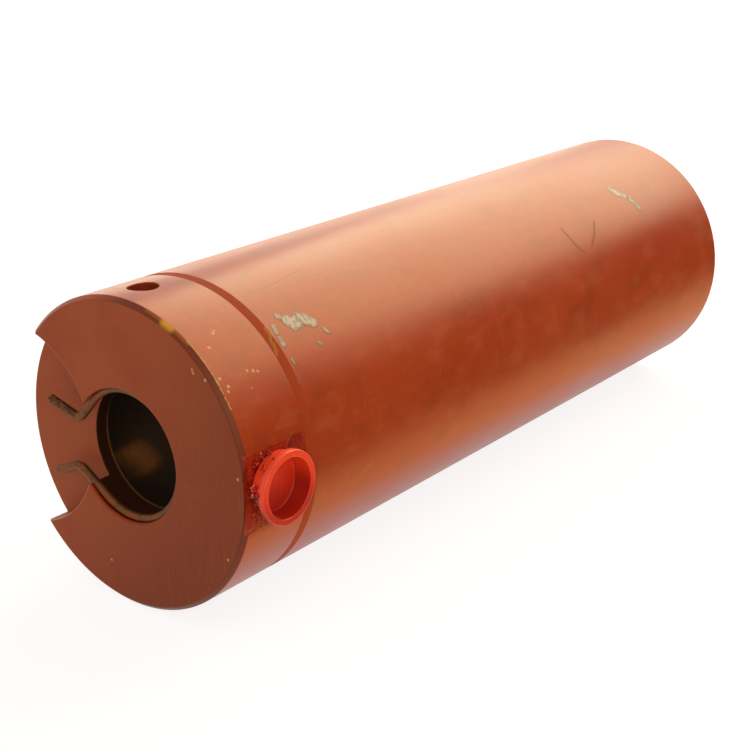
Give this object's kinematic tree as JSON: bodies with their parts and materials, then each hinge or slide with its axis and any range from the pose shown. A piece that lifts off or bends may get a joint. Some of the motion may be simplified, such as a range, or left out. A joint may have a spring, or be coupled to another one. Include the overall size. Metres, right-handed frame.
{
  "type": "hydraulic jack",
  "caption": "Single-acting hydraulic jack: plain thick barrel, end head with a ball socket held by a wire clip, plugged side port and a spring-returned ram with a grooved saddle.",
  "frame": {"origin": "centre of the end head's front face, on the axis of the barrel", "axes": "+Y along the axis from the front face to the ram's end, +X out of the pressure port, +Z square to both, 2.6 degrees from the upper spanner hole; the jack lies on its side"},
  "size_m": [0.1467, 0.443, 0.14],
  "materials": {
    "barrel_paint": "gloss red oxide enamel, worn through in places",
    "head_paint": "satin red oxide enamel with brush marks",
    "seat_steel": "dark hardened steel, oiled",
    "spring_wire": "drawn spring wire with traces of paint",
    "seal_rubber": "smooth nitrile rubber",
    "wiper_rubber": "dark polyurethane",
    "ring_plastic": "filled plastic",
    "gland_steel": "red oxide enamel over turned steel",
    "bronze": "bearing bronze",
    "black_steel": "black oxide",
    "turned_steel": "turned steel, oiled",
    "rod_chrome": "hard chrome",
    "saddle_steel": "hardened steel",
    "plug_plastic": "soft moulded polythene"
  },
  "bodies": {
    "cylinder": {"barrel": "barrel_paint", "end_head": "head_paint", "ball_seat": "seat_steel", "socket_clip": "spring_wire", "head_o_ring": "seal_rubber", "head_backup_ring": "ring_plastic", "gland": "gland_steel", "gland_o_ring": "seal_rubber", "rod_bush": "bronze", "rod_wiper": "wiper_rubber", "gland_lock_screw": "black_steel", "breather": "bronze", "rear_spring_washer": "turned_steel", "return_spring": "black_steel"},
    "ram": {"piston_rod": "rod_chrome", "piston": "turned_steel", "piston_nut": "turned_steel", "nut_lock_screw": "black_steel", "piston_seal": "seal_rubber", "seal_backup_ring": "ring_plastic", "piston_guide_rings": "ring_plastic", "rod_o_ring": "seal_rubber", "front_spring_washer": "turned_steel", "saddle": "saddle_steel"},
    "port_plug": {"port_plug": "plug_plastic"}
  },
  "joints": [
    {"name": "ram_slide", "type": "slide", "parent": "cylinder", "child": "ram", "axis": [0, 1, 0], "range_m": [0, 0.1], "stiffness_N_per_m": 46000, "springref_m": -0.02, "deforming": ["return_spring"]},
    {"name": "plug_pull", "type": "slide", "parent": "cylinder", "child": "port_plug", "axis": [1, 0, 0], "range_m": [0, 0.02]}
  ]
}
